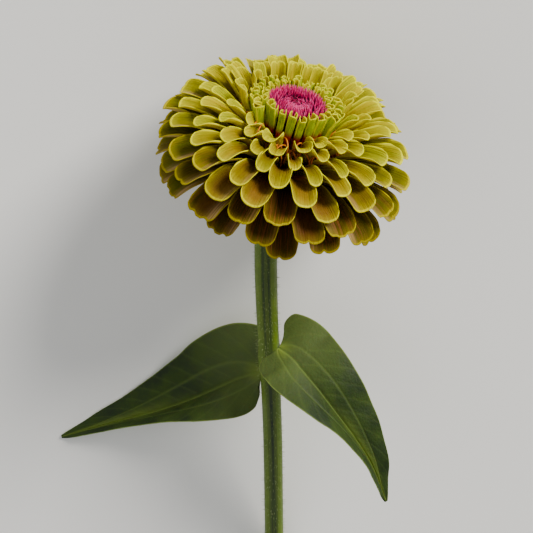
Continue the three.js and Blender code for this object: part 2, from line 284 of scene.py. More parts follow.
def store(geometry, name, value):
    """Writes a number on every vertex, for the material or a later step to read."""
    inputs = {"Name": name, "Value": value}
    return then(geometry, "StoreNamedAttribute", inputs, data_type="FLOAT", domain="POINT")


def repeat(guide, blank):
    """Sets a blank on every vertex of the guide, where it takes on the vertex's numbers."""
    return then(then(guide, "InstanceOnPoints", {"Instance": blank}), "RealizeInstances")


def move(geometry, position):
    """Puts every vertex in a new place."""
    return then(geometry, "SetPosition", {"Position": position})


print("steps ready")

# %% Guides and grown meshes
def new_mesh(name, points, faces=(), edges=()):
    mesh = bpy.data.meshes.new(name)
    mesh.from_pydata(points, edges, faces)
    return mesh


def carry(mesh, name, values):
    """Gives each vertex of a mesh a number of its own."""
    mesh.attributes.new(name, "FLOAT", "POINT").data.foreach_set("value", list(values))


def guide_mesh(name, repeats):
    """One vertex for each repeat, with its numbers as attributes."""
    mesh = new_mesh(name, [(0, 0, 0)] * len(repeats))
    for key in repeats[0]:
        carry(mesh, key, [one[key] for one in repeats])
    return mesh


def grow(tree, guide, **values):
    """Runs a tree on a guide and gives the result back as a plain mesh."""
    holder = in_scene("guide", guide)
    modifier = holder.modifiers.new("grow", "NODES")
    modifier.node_group = tree
    for item in tree.interface.items_tree:
        if item.in_out == "INPUT" and item.name in values:
            modifier[item.identifier] = values[item.name]
    depsgraph = bpy.context.evaluated_depsgraph_get()
    grown = holder.evaluated_get(depsgraph)
    mesh = bpy.data.meshes.new_from_object(grown, preserve_all_data_layers=True, depsgraph=depsgraph)
    bpy.data.objects.remove(holder)
    return mesh


print("guide helpers ready")

# %% [markdown]
# ## Pieces
# A finished mesh becomes a piece: it rides on the flower's only body and replaces the solid that it stands
# for, which is hidden. Plain round bodies, such as the dome under the disc, need no tree. They are turned
# like wood on a lathe, from a profile.

# %% Pieces and turned bodies
def put(name, mesh, matrix, node, material=None):
    """Sets a finished mesh in place as a piece that stands for a CAD node."""
    mesh.name = name
    mesh.transform(matrix)
    if material:
        mesh.materials.append(material)
    mesh.polygons.foreach_set("use_smooth", [True] * len(mesh.polygons))
    piece = in_scene(name, mesh)
    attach(piece, "root")
    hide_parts(node)
    mesh.calc_loop_triangles()
    print(name, "triangles:", len(mesh.loop_triangles))


def turned(name, profile, sides):
    """A closed body turned about z from (radius, height) pairs, from the axis back to the axis."""
    rings = profile[1:-1]
    angles = np.arange(sides) * 2 * np.pi / sides
    points = [(r * math.sin(a), -r * math.cos(a), h) for r, h in rings for a in angles]
    first, last = len(points), len(points) + 1
    points += [(0, 0, profile[0][1]), (0, 0, profile[-1][1])]
    top = (len(rings) - 1) * sides
    faces = []
    for side in range(sides):
        after = (side + 1) % sides
        for low in range(0, top, sides):
            faces.append((low + side, low + after, low + sides + after, low + sides + side))
        faces.append((first, after, side))
        faces.append((last, top + side, top + after))
    return new_mesh(name, points, faces)


print("piece helpers ready")

# %% [markdown]
# ## Repeatable chance
# Petals stray a little from their rule. The straying has to be the same in every run, and the same as in
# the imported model, so it comes from a formula on the petal's number and not from a random generator.

# %% Draws
def draw(index, channel):
    """A repeatable number from 0 to 1 for each pair of whole numbers."""
    return (math.sin(index * 12.9898 + channel * 78.233) * 43758.5453) % 1


def sway(index, channel):
    """The same draw from -1 to 1."""
    return 2 * draw(index, channel) - 1


def smooth(value, low, high):
    """A smooth step from 0 to 1 between two values, for a number or an array."""
    share = np.clip((value - low) / (high - low), 0, 1)
    return share * share * (3 - 2 * share)


print("first draws:", round(draw(0, 1), 4), round(draw(1, 1), 4))

# %% [markdown]
# ## Colours and shared surface effects
# Two effects come back on many surfaces of a plant. Veins run along petals, bracts and the stem, and a
# faint mottle breaks up every colour. Each is a node group with named inputs, built once and placed in each
# material with its own values.

# %% Paint and blends
def paint(code):
    """A colour from its usual six-figure code, as Blender's linear red, green, blue and alpha."""
    parts = [int(code[place:place + 2], 16) / 255 for place in (1, 3, 5)]
    linear = [p / 12.92 if p <= 0.04045 else ((p + 0.055) / 1.055) ** 2.4 for p in parts]
    return (*linear, 1)


def blend(factor, first, second):
    """The first colour where the factor is 0 and the second where it is 1, each a field or a code."""
    mix = factor.tree.nodes.new("ShaderNodeMix")
    mix.data_type = "RGBA"
    plug(factor, mix.inputs[0])
    for socket, color in ((6, first), (7, second)):
        plug(paint(color) if isinstance(color, str) else color, mix.inputs[socket])
    return Field(factor.tree, mix.outputs[2])


print("leaf green:", [round(c, 3) for c in paint("#2a3c06")])

# %% Veins and mottle
def shader_group(name, inputs, output):
    """A shader node group with number inputs and one number output."""
    tree = bpy.data.node_groups.new(name, "ShaderNodeTree")
    tree.interface.new_socket(output, in_out="OUTPUT", socket_type="NodeSocketFloat")
    return tree, name_inputs(tree, inputs)


def veins_group():
    """Fine lines along a blade, from 0 between the veins to 1 on them."""
    names = {"Across": 0.0, "Along": 0.0, "Count": 20.0, "Chance": 0.0}
    tree, inputs = shader_group("lengthwise veins", names, "Vein")
    place = combine(inputs["Across"] * inputs["Count"], inputs["Along"] * 1.6, inputs["Chance"] * 40)
    lines = add(tree, "ShaderNodeTexNoise", {"Vector": place, "Scale": 1, "Detail": 2}, "Fac")
    return close_group(lines.rise(0.35, 0.68))


def mottle_group():
    """Soft blotches in the object's own space, from 0 to 1."""
    tree, inputs = shader_group("mottle", {"Scale": 400.0}, "Blotch")
    place = add(tree, "ShaderNodeTexCoord", output="Object")
    noise = {"Vector": place, "Scale": inputs["Scale"], "Detail": 3}
    return close_group(add(tree, "ShaderNodeTexNoise", noise, "Fac").rise(0.3, 0.7))


veins = veins_group()
mottle = mottle_group()
print("groups:", veins.name, "and", mottle.name)

# %% Materials
def use(tree, group, **inputs):
    """Places a group in a material."""
    return add(tree, "ShaderNodeGroup", inputs, node_tree=group)


def carried(tree, *names):
    """Numbers that the mesh carries, read by a material."""
    return [add(tree, "ShaderNodeAttribute", output="Fac", attribute_name=name) for name in names]


def new_material(name, **constants):
    """A material, its tree and its shader, whose even values are set on the shader's own sockets."""
    material = bpy.data.materials.new(name)
    material.use_nodes = True
    shader = material.node_tree.nodes["Principled BSDF"]
    for label, value in constants.items():
        shader.inputs[label.replace("_", " ")].default_value = value
    return material, material.node_tree, shader


def finish_material(shader, color, roughness, height, depth):
    """Feeds a colour, a roughness and a bump height to the shader. The depth is in millimetres."""
    plug(color, shader.inputs["Base Color"])
    plug(roughness, shader.inputs["Roughness"])
    bumps = {"Strength": 1, "Distance": depth * MM, "Height": height}
    plug(add(color.tree, "ShaderNodeBump", bumps), shader.inputs["Normal"])


def plain_material(name, light, dark, roughness, depth, scale):
    """A mottled material between two colours."""
    material, tree, shader = new_material(name, Specular_IOR_Level=0.3)
    blotch = use(tree, mottle, Scale=scale)
    finish_material(shader, blend(blotch, dark, light), roughness, blotch, depth)
    return material


print("material helpers ready")

# %% [markdown]
# ## The petals' finish
# A zinnia petal is not one colour, and no two are alike, so one painted image would not do. Each vertex
# carries its petal's row, azimuth and tone, and its own place across and along the petal, and the finish
# blends colours by those numbers. The lowest petals are dark bronze, painted darker still towards
# black-brown as painted shade. Those of the middle rows are golden brown towards the claw in front,
# deepened there by painted shade, and the upper ones lime and yellow.

# %% What a petal's colour depends on
petal_finish, petal_tree, petal_shader = new_material(
    "petal", Subsurface_Weight=0.2, Subsurface_Scale=0.0012, Specular_IOR_Level=0.03
)
petal_shader.inputs["Subsurface Radius"].default_value = (1.0, 0.75, 0.15)
across, share, tip, face = carried(petal_tree, "across", "share", "tip", "face")
row, tone, azimuth = carried(petal_tree, "row", "tone", "azimuth")
edge = abs(across)
vein = use(petal_tree, veins, Across=across, Along=share, Count=13, Chance=tone)
blotch = use(petal_tree, mottle, Scale=350)

# low fades out by row 3. It darkens the lowest rows' bodies and rims, partly to their own dark bronze and
# partly as painted shade.
low = 1 - row.rise(0.0, 3.0)
outer_rows = 1 - row.rise(2.2, 3.6)
middle_rows = row.rise(1.2, 2.2) * (1 - row.rise(3.8, 5.2))
high = (row + (tone - 0.5)).rise(1.3, 3.3)
young = row.rise(6.4, 7.4)
redder = young * 0.08 - row.rise(8.0, 9.0) * 0.16
front = azimuth.cos().rise(0.3, 1.0)
nearer_half = (azimuth.sin() * across * -1).rise(0.0, 0.8)
lime = (vein.rise(0.5, 0.95) * 0.55).at_least((1 - tone.rise(0.1, 0.5)) * 0.6)


def by_age(low_color, high_color, young_color):
    """A colour that goes from the low petals over the high ones to the young tubes."""
    return blend(young, blend(high, low_color, high_color), young_color)


print("material:", petal_finish.name)

# %% [markdown]
# ## The upper side of a petal
# From a maroon claw the colour goes over the petal's middle to a brighter tip, and the veins break up the
# step between them. Over that lie thin washes: dark brown on the low petals, partly their own colour and
# partly painted shade; golden brown on the middle rows in front, also partly painted shade; olive on the
# outer rows at the sides; rose-brown down the middle of some; and a pale buff painted highlight on the half
# of an outer petal that is nearer the viewer.

# %% Upper side
base = by_age("#37090a", "#8f3a08", "#a02420")
# The colours for the low rows here are darker than for the high ones, partly their own bronze and partly
# painted shade.
middle = by_age(blend(lime, "#4a2e00", "#383000"), blend(lime, "#aa9200", "#8c9a00"), "#7f9e00")
near_tip = blend(high, "#584a00", blend(lime, "#c8b800", "#a8ba00"))
along_body = (share + (blotch - 0.5) * 0.12).rise(0.5, 0.96)
# The lowest rows' bodies are painted down towards near black-brown, partly their own colour and partly
# painted shade.
body = blend(low * 0.85, blend(along_body, middle, near_tip), "#302200")

more_in_front = 0.4 + front * 0.6
more_when_low = 1 - high * 0.7
# Golden brown on the middle rows, strongest in front towards the claw: partly the petals' own colour and
# partly painted shade.
gold_and_painted_shade = middle_rows * (0.8 - share.rise(0.6, 1.0) * 0.35) * more_in_front
body = blend(gold_and_painted_shade, body, "#583600")
olive = outer_rows * (1 - front) * 0.7
body = blend(olive, body, "#565e00")
blush = tone.rise(0.5, 0.9) * more_when_low * (1 - edge.rise(0.2, 0.8)) * 0.5
blush = blush.at_least((vein - 0.3) * more_when_low * 0.5)
body = blend(blush * more_in_front, body, "#8a4632")
# A painted highlight: pale buff on the half of an outer petal that is nearer the viewer, where its margin
# turns to the light.
pale = nearer_half * share.rise(0.45, 0.85) * outer_rows * (0.35 + vein * 0.65)
body = blend(pale, body, "#c09a68")
claw_end = (share + redder + (vein - 0.5) * 0.1).rise(0.28, 0.54)
upper_side = blend(claw_end, base, body)
print("nodes in the petals' finish so far:", len(petal_tree.nodes))

# %% [markdown]
# ## The rim and the underside
# Every petal has a thin raised rim of clear yellow, brightened further as a painted highlight, and darkened
# on the lowest ones as painted shade. The underside is cream with rose veins on the low petals and green on
# the tubes, with a painted highlight in clear yellow along each side of a tube.

# %% Rim, underside and the whole finish
# The rim is a real yellow margin, brightened as a painted highlight; on the lowest rows its colour is
# darkened as painted shade.
rim = (edge + (vein - 0.5) * 0.03).rise(0.9, 0.985).at_least(tip.rise(0.965, 0.99))
rim = rim.at_least(edge.rise(0.6, 1.0) * 0.25).at_least(tip.rise(0.88, 1.0) * 0.25)
rim = rim * share.rise(0.2, 0.5)
rim_paint_with_light_and_shade = blend(high, blend(low, "#ccba00", "#8a7c00"), "#e8e200")
rimmed = blend(rim, upper_side, rim_paint_with_light_and_shade)

cream = by_age("#d0bc60", "#c4b410", "#a0b000")
rose = by_age("#a8684a", "#b09010", "#7f9800")
under = blend(vein * (0.65 - edge * 0.4), cream, rose)
# A painted highlight: a bright yellow line along each side of a tube.
painted_edge_highlight = (1 - abs(edge - 0.4).rise(0.0, 0.13)) * young * 0.8
under = blend((rim * 0.7).at_least(painted_edge_highlight), under, rim_paint_with_light_and_shade)
under = blend((1 - (share + redder).rise(0.28, 0.5)) * young, under, base)
color = blend(face.rise(-0.2, 0.6), under, rimmed)
relief = vein + blotch * 0.3
finish_material(petal_shader, color, roughness=0.5 + blotch * 0.12, height=relief, depth=0.2)
print("nodes in the petals' finish:", len(petal_tree.nodes))

# %% [markdown]
# ## One tree for every ray floret
# A wide outer petal, a rolled inner one and a young floret still closed into a tube differ only in their
# numbers. They could be modelled one by one, but one tree grows them all, and a better rule then betters
# every petal. It sets a flat blank on each guide vertex and bends it along the petal's own midrib, a Bezier
# curve in the plane of its azimuth. The blank has an upper and a lower face, so each petal is a thin closed
# body.

# %% The flat blank and its midrib
def ray_blank(tree, inputs):
    """A flat box, finest at the rims, that carries where each vertex lies across and along."""
    blank = add(tree, "GeometryNodeMeshCube", {
        "Size": (2, 1, 2), "Vertices X": inputs["Across"], "Vertices Y": inputs["Along"], "Vertices Z": 2,
    })
    x, y, z = separate(add(tree, "GeometryNodeInputPosition"))
    blank = store(blank, "across", x * 0.45 + (x * (math.pi / 2)).sin() * 0.55)
    blank = store(blank, "tip", 1 - (0.5 - y) ** 1.25)
    return store(blank, "face", z)


def along_midrib(tree, share):
    """The midrib's radius and height at a share of its length, and how it runs out and up there."""
    rest = 1 - share
    weights = (rest ** 3, rest * rest * share * 3, rest * share * share * 3, share ** 3)
    slopes = (rest * rest, rest * share * 2, share * share)
    places, runs = [], []
    for points in (named(tree, "r0", "r1", "r2", "r3"), named(tree, "z0", "z1", "z2", "z3")):
        places.append(sum(weight * point for weight, point in zip(weights, points)))
        runs.append(sum(slope * (b - a) for slope, a, b in zip(slopes, points, points[1:])))
    length = (runs[0] * runs[0] + runs[1] * runs[1]).square_root()
    return *places, runs[0] / length, runs[1] / length


print("blank and midrib ready")

# %% [markdown]
# ## A petal's outline and cross-section
# The outline is a claw that widens to a blunt tip, drawn back at the corners and between two or three
# lobes. The cross-section is an arc that opens towards the tip, with a raised rim, a soft ridge along each
# half and a slow wave.

# %% Outline and cross-section
def petal_share(tree, edge, tip):
    """How far along the petal a vertex lies, drawn back at the corners and notches of the tip."""
    corner_power = 2.7
    lobe_place, lobe_depth, blunt = named(tree, "lobe_place", "lobe_depth", "round")
    roundness = 1 - (1 - edge ** corner_power).at_least(0) ** (1 / corner_power)
    notch = (1 - abs(edge - lobe_place).rise(0, 0.24)) * lobe_depth
    return tip * (1 - blunt * roundness - notch)


def cross_section(tree, inputs, across, tip, share):
    """How far a vertex lies to the side of the midrib and above it."""
    edge = abs(across)
    width, foot, cup, flatten = named(tree, "width", "foot", "cup", "flatten")
    face, tone, curl, skew = named(tree, "face", "tone", "curl", "skew")
    widening = share.curve([(0, 0), (0.27, 0.42), (0.55, 0.93), (0.8, 1.0), (1, 0.95)])
    half = width * 0.5 * (foot + (1 - foot) * widening)
    bend = cup * 0.5 * (1.1 - share.rise(0.45, 1) * flatten)
    angle = bend * across
    arc = half / bend
    place = combine(across * 1.3, share * 3.4, tone * 50)
    noise = add(tree, "ShaderNodeTexNoise", {"Vector": place, "Scale": 1.0, "Detail": 1.0}, "Fac")
    spread = share.rise(0.2, 0.7)
    lift = arc * (1 - angle.cos())
    lift = lift + inputs["Rim"] * (edge ** 5) * spread
    lift = lift + curl * (tip.rise(0.7, 1.0) ** 2)
    lift = lift + inputs["Ridge"] * (across * (3 * math.pi)).cos() * spread * (1 - tip.rise(0.8, 1))
    lift = lift + inputs["Wave"] * (noise - 0.5) * spread
    thin = inputs["Thickness"] * 0.5 * (1 - (edge ** 4) * 0.5) * (1 - tip.rise(0.85, 1) * 0.4)
    sideways = arc * angle.sin() - face * thin * angle.sin() + skew * share * share
    return sideways, lift + face * thin * angle.cos()


print("outline and cross-section ready")

# %% The ray floret tree
def ray_floret_tree():
    """Grows petals, tubes and bracts: the cross-section is twisted and set square to the midrib."""
    tree, inputs = new_tree("ray floret", {
        "Across": 13, "Along": 24, "Thickness": 0.4, "Rim": 0.35, "Ridge": 0.1, "Wave": 1.0,
        "Material": None,
    })
    florets = repeat(inputs["Geometry"], ray_blank(tree, inputs))
    across, tip, turn, azimuth = named(tree, "across", "tip", "turn", "azimuth")
    share = petal_share(tree, abs(across), tip)
    radius, height, out, up = along_midrib(tree, share)
    sideways, lift = cross_section(tree, inputs, across, tip, share)
    twist = turn * share
    a = sideways * twist.cos() - lift * twist.sin()
    b = sideways * twist.sin() + lift * twist.cos()
    distance = radius - up * b
    position = combine(
        distance * azimuth.sin() + a * azimuth.cos(),
        a * azimuth.sin() - distance * azimuth.cos(),
        height + out * b,
    )
    return close_tree(move(store(florets, "share", share), position), inputs["Material"])


ray_floret = ray_floret_tree()
print("nodes in the ray floret tree:", len(ray_floret.nodes))

# %% [markdown]
# ## The ray petals
# New petals form one golden angle on from the last, so they make spirals and never line up. Row 0 is the
# lowest and oldest, and rows need not be whole numbers: every petal's tip, slope, width and cup lie between
# those of the rows in the list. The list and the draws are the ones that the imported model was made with.
#
# On the side that faces the viewer the upper rows are shorter and lower and bend down more steeply, and
# the last petals are left out there, so that the feet of the tubes show. In the middle rows the petals are
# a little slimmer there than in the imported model, and the claws of the low petals are a little wider.

# %% The rows of petals
petal_count = 134
petals_per_row = 24
golden_angle = 137.508
first_azimuth = 2.5
open_side = 0.6
root_radius = 7.6
handle_share = 0.36
lying_depth = 33
azimuth_sway = 2.2
tip_sway = 0.8
droop_sway = 6
twist_sway = 9
skew_sway = 0.9
petal_rows = {
    "root_z": [-2.6, -0.8, 1.0, 2.8, 4.4, 6.4],
    "tip_r": [32.0, 35.0, 35.0, 31.0, 25.0, 18.5],
    "tip_z": [-10.0, -1.5, 7.5, 13.5, 17.5, 21.0],
    "rise": [8, 18, 26, 34, 40, 50],
    "droop": [-60, -40, -20, -6, 10, 55],
    "width": [9.8, 9.5, 8.6, 7.0, 5.5, 4.4],
    "cup": [50, 58, 80, 105, 130, 150],
    "near_shorter": [0, 0, 0.3, 0.9, 4.5, 3.6],
    "near_lower": [0, 0, 0.5, 1.2, 3.4, 5.6],
    "near_steeper": [0, 0, 4, 14, 36, 80],
}


def in_row(name, row):
    """A value between the rows, which goes on along the last step past the last row."""
    values = petal_rows[name]
    low = min(int(row), len(values) - 2)
    return values[low] + (values[low + 1] - values[low]) * (row - low)


def midrib(root, rise, tip, droop):
    """The four points of a Bezier curve that starts and ends with the given slopes, in degrees."""
    rise, droop = math.radians(rise), math.radians(droop)
    reach = handle_share * math.dist(root, tip)
    first = (root[0] + reach * math.cos(rise), root[1] + reach * math.sin(rise))
    second = (tip[0] - reach * math.cos(droop), tip[1] - reach * math.sin(droop))
    points = (root, first, second, tip)
    return {f"{axis}{n}": point[k] for n, point in enumerate(points) for k, axis in enumerate("rz")}


print("width between the first two rows, mm:", in_row("width", 0.5))

# %% One petal's numbers
def petal(index):
    """All the numbers of one ray petal."""
    row = index / petals_per_row
    azimuth = math.radians(first_azimuth + index * golden_angle + azimuth_sway * sway(index, 1))
    near = smooth(math.cos(azimuth), -0.1, 0.9)
    rolled = near * smooth(row, 3.6, 4.8)
    slender = near * smooth(row, 1.8, 2.8) * (1 - smooth(row, 4.2, 5))
    far = smooth(-math.cos(azimuth), 0.1, 0.8) * smooth(row, 1, 3)
    broader = 0.08 * sway(index, 8) + 0.3 * rolled + 0.15 * far - 0.14 * slender
    tip_z = in_row("tip_z", row) - in_row("near_lower", row) * near + far
    tip_z += (tip_sway + 0.5 * far) * sway(index, 3)
    tip_r = in_row("tip_r", row) - in_row("near_shorter", row) * near + tip_sway * sway(index, 2)
    if math.cos(azimuth) < 0:
        tip_r = min(tip_r, (lying_depth + 0.2 * tip_z) / -math.cos(azimuth))
    root = (root_radius, in_row("root_z", row))
    droop = in_row("droop", row) - in_row("near_steeper", row) * near + droop_sway * sway(index, 4)
    return {
        **midrib(root, in_row("rise", row), (tip_r, tip_z), droop),
        "azimuth": azimuth,
        "width": in_row("width", row) * (1 + broader),
        "cup": math.radians(in_row("cup", row)) * (1 + 0.12 * sway(index, 14) + 0.4 * rolled),
        "flatten": 0.2 + 0.4 * rolled,
        "foot": 0.22 + 0.36 * (1 - smooth(row, 1.8, 3.2)),
        "turn": math.radians((twist_sway + 6 * smooth(row, 2, 4)) * sway(index, 5)),
        "skew": skew_sway * sway(index, 6),
        "round": 0.15 + 0.05 * sway(index, 9) - 0.07 * far,
        "lobe_place": 0.38 if draw(index, 10) < 0.5 else 0.0,
        "lobe_depth": (0.008 + 0.022 * draw(index, 11)) * (1 - smooth(row, 0.8, 2.2)) + 0.035 * far,
        "curl": 0.3 + 0.6 * sway(index, 12) + 0.4 * rolled,
        "row": row,
        "tone": draw(index, 13),
    }


petals = [petal(index) for index in range(petal_count)]
petals = [ray for ray in petals if ray["row"] < 5 or math.cos(ray["azimuth"]) < open_side]
print("petals:", len(petals))

# %% Grow the petals
outer_count = 72
outer_petals = guide_mesh("outer petals", petals[:outer_count])
inner_petals = guide_mesh("inner petals", petals[outer_count:])
mesh = grow(ray_floret, outer_petals, Across=17, Along=30, Material=petal_finish)
put("outer_petals", mesh, lay_head_down, "ray_petals")
mesh = grow(ray_floret, inner_petals, Across=15, Along=28, Material=petal_finish)
put("inner_petals", mesh, lay_head_down, "ray_petals")

# %% [markdown]
# ## The young florets around the disc
# The youngest ray florets have not opened. Each stands nearly upright as a green tube with a ragged yellow
# mouth and a slit that faces the disc. The floret tree makes them from a blade that is cupped almost all
# the way round. The midrib is the tube's outer wall, so it lies one radius outside the tube's middle. The
# outer ring has no tubes on the side that faces the viewer.

# %% Two rings of tubes
quill_rings = [
    {"count": 22, "root": (7.8, 8.6), "tip": (12.2, 20.6), "mouth": 1.2, "foot": 0.8},
    {"count": 21, "root": (7.0, 10.4), "tip": (9.4, 21.2), "mouth": 1.0, "foot": 0.75},
]
inner_ring_reach = 12
quill_rise = 60
quill_droop = 76
wall_width = math.radians(310)
wall_bend = 300
first_quill_draw = 200


def quill(index, number, ring):
    """All the numbers of one young floret."""
    root = (ring["root"][0] + ring["foot"], ring["root"][1])
    chance = first_quill_draw + index + 30 * number
    tip_r = ring["tip"][0] + ring["mouth"] + 0.35 * sway(chance, 2)
    tip = (tip_r, ring["tip"][1] + 0.5 * sway(index, 7 + number) + 0.4)
    return {
        **midrib(root, quill_rise, tip, quill_droop + 5 * sway(chance, 4)),
        "azimuth": (index + 0.5 * number + 0.12 * sway(chance, 1)) * 2 * math.pi / ring["count"],
        "width": ring["mouth"] * wall_width * (1 + 0.12 * sway(chance, 3)),
        "cup": math.radians(wall_bend + 20 * sway(chance, 5)),
        "flatten": 0.1,
        "foot": 0.75 * ring["foot"] / ring["mouth"],
        "turn": math.radians(10 * sway(chance, 6)),
        "skew": 0.3 * sway(chance, 8),
        "round": 0.02,
        "lobe_place": 0.25 + 0.3 * draw(chance, 9),
        "lobe_depth": 0.02 + 0.05 * draw(chance, 10),
        "curl": -0.1,
        "row": 8.0 + number,
        "tone": draw(chance, 13),
    }


def in_rings(make, rings):
    """The numbers of every repeat in several rings."""
    places = [(index, number) for number, ring in enumerate(rings) for index in range(ring["count"])]
    return [make(index, number, rings[number]) for index, number in places]


quills = [
    floret for floret in in_rings(quill, quill_rings)
    if floret["r3"] < inner_ring_reach or math.cos(floret["azimuth"]) < open_side
]
mesh = grow(ray_floret, guide_mesh("young florets", quills), Across=17, Along=20, Material=petal_finish)
put("young_florets", mesh, lay_head_down, "ray_petals")

# %% [markdown]
# ## The receptacle
# All florets sit on a short cone that the stem swells into. Little of it shows, between the petals' bases,
# where it is as dark red as they are, so a turned body with a mottled finish will do.

# %% Receptacle
receptacle_profile = [(0, -3.8), (8.0, -3.8), (8.5, 0.5), (8.4, 9.5), (7.2, 11.6), (6.2, 12.2), (0, 12.2)]
receptacle_finish = plain_material(
    "receptacle", light="#6b1f12", dark="#2c0808", roughness=0.6, depth=0.3, scale=900
)
mesh = turned("receptacle", receptacle_profile, sides=48)
put("receptacle", mesh, lay_head_down, "ray_petals", receptacle_finish)

# %% [markdown]
# ## One tree for spikes and threads
# The disc's scales and the styles are thin bodies that taper and bend one way. The tree sets a thin
# cylinder on each guide vertex and bends it into an arc of its own length, lean and curl. The centre line
# is worked out for the arc, and each ring of the cylinder stands square to it.

# %% The bent spike tree
def bent_spike_tree():
    tree, inputs = new_tree("bent spike", {"Sides": 5, "Steps": 3, "Material": None})
    blank = add(tree, "GeometryNodeMeshCylinder", {
        "Vertices": inputs["Sides"], "Side Segments": inputs["Steps"], "Radius": 1.0, "Depth": 1.0,
    })
    x, y, z = separate(add(tree, "GeometryNodeInputPosition"))
    blank = store(store(store(blank, "across", x), "deep", y), "share", z + 0.5)
    spikes = repeat(inputs["Geometry"], blank)
    across, deep, share = named(tree, "across", "deep", "share")
    start, base_height, azimuth, swing = named(tree, "from_axis", "height", "azimuth", "swing")
    lean, bend, length, girth, taper = named(tree, "lean", "bend", "length", "girth", "taper")
    angle = lean + bend * share
    arc = length / bend
    belly = share.curve([(0, 0.7), (0.35, 1), (0.75, 0.62), (1, 0.04)])
    girth = girth * (belly * taper + (1 - taper))
    a = across * girth
    b = deep * girth
    reach = arc * (lean.cos() - angle.cos()) + b * angle.cos()
    towards = azimuth + swing
    position = combine(
        start * azimuth.sin() + reach * towards.sin() + a * towards.cos(),
        a * towards.sin() - start * azimuth.cos() - reach * towards.cos(),
        base_height + arc * (angle.sin() - lean.sin()) - b * angle.sin(),
    )
    return close_tree(move(spikes, position), inputs["Material"])


bent_spike = bent_spike_tree()
print("nodes in the bent spike tree:", len(bent_spike.nodes))

# %% [markdown]
# ## The disc
# The disc is a low dome of unopened florets, each behind a narrow magenta scale. The scales follow the
# same golden-angle spiral as the petals. Around the middle they lean inwards over a small dark hollow, and
# at the edge they lean out over the tubes. An image of them would look flat from the side, so each of the
# 900 scales is a spike of its own.

# %% The disc's scales
disc_radius = 8.0
disc_top = 21.4
scale_height = 1.5
scale_count = 900
scale_reach = 7.9
scale_root = 0.7


def disc_height(distance):
    """The height of the dome at a distance from its axis."""
    share = distance / disc_radius
    return disc_top - scale_height - 2.4 * (1 - share) ** 2.4 - 1.4 * share ** 5


def disc_scale(index):
    """All the numbers of one scale on the disc."""
    share = math.sqrt((index + 0.5) / scale_count)
    distance = scale_reach * share
    inwards = 1 - smooth(share, 0.15, 0.85)
    return {
        "from_axis": distance,
        "height": disc_height(distance) - scale_root,
        "azimuth": math.radians(index * golden_angle),
        "swing": 0.5 * sway(index, 30),
        "lean": math.radians(30 - 72 * inwards + 18 * sway(index, 31)),
        "bend": math.radians(-8 - 60 * draw(index, 32) * (0.5 + inwards)),
        "length": 1.7 + 1.0 * smooth(share, 0.05, 0.4) + 0.6 * draw(index, 33),
        "girth": 0.13 + 0.05 * draw(index, 34),
        "taper": 1.0,
        "place": share,
        "tone": draw(index, 35),
    }


scales = guide_mesh("disc scales", [disc_scale(index) for index in range(scale_count)])
print("scales:", len(scales.vertices))

# %% Dome, scales and their finish
def disc_material():
    material, tree, shader = new_material("disc", Subsurface_Weight=0.15, Subsurface_Scale=0.0008)
    share, tone, place = carried(tree, "share", "tone", "place")
    # Each scale is painted darker towards its base as painted shade between the scales; some tips are
    # lighter pink, partly their own colour and partly a painted highlight.
    shade = blend(share.rise(0.25, 0.85), "#540430", "#e00a70")
    bright = blend(share.rise(0.6, 1.0) * tone.rise(0.35, 0.9), shade, "#f266a8")
    # The middle is darker, partly the florets' own colour and partly painted shade in the hollow.
    color = blend((1 - place.rise(0.08, 0.36)) * 0.85, bright, "#3d0717")
    finish_material(shader, color, roughness=0.45, height=use(tree, mottle, Scale=900), depth=0.05)
    return material


disc_finish = disc_material()
dome_profile = [(0, 12.5), (5.4, 12.5), (7, 16), (7.3, 18.4)]
dome_profile += [(radius, disc_height(radius) - 0.1) for radius in (6.9, 5.6, 4.2, 2.8, 1.4, 0)]
mesh = turned("disc dome", dome_profile, sides=40)
put("disc_dome", mesh, lay_head_down, "disc", disc_finish)
mesh = grow(bent_spike, scales, Sides=5, Steps=4, Material=disc_finish)
put("disc_scales", mesh, lay_head_down, "disc")

# %% [markdown]
# ## Styles
# At the foot of each upper petal stands a thin orange-brown style that forks and curls back. In the
# photograph they loop in the dark gap between the petals and the tubes. Each branch is one bent spike of
# nearly even girth.

# %% Styles
first_styled_petal = 58
first_style_draw = 500


def style_branch(index, branch):
    """One branch of the forked style at a petal's foot."""
    chance = first_style_draw + 3 * index + branch
    turn = 1 if branch else -1
    return {
        "from_axis": 9.6 + 2.0 * draw(chance, 1),
        "height": petals[index]["z0"] + 5.0 + 2.5 * draw(chance, 7),
        "azimuth": petals[index]["azimuth"] + 0.1,
        "swing": turn * (0.5 + 0.5 * draw(chance, 2)),
        "lean": math.radians(30 * draw(chance, 3) - 12),
        "bend": math.radians(170 + 110 * draw(chance, 4)),
        "length": 8 + 3 * draw(chance, 5),
        "girth": 0.22,
        "taper": 0.4,
    }


style_finish = plain_material("styles", "#e08a10", "#a04806", roughness=0.5, depth=0.05, scale=700)
styled = range(first_styled_petal, len(petals))
threads = [style_branch(index, branch) for index in styled for branch in (0, 1)]
mesh = grow(bent_spike, guide_mesh("styles", threads), Sides=5, Steps=10, Material=style_finish)
put("styles", mesh, lay_head_down, "ray_petals")

# %% [markdown]
# ## The green cup
# Under the petals a cup of bracts closes round the head. Each bract is short and broad, lies close on the
# ones above it, and has a dark papery rim. A bract is built like a petal, so the floret tree grows them
# too, from short wide blades without a wavy rim.

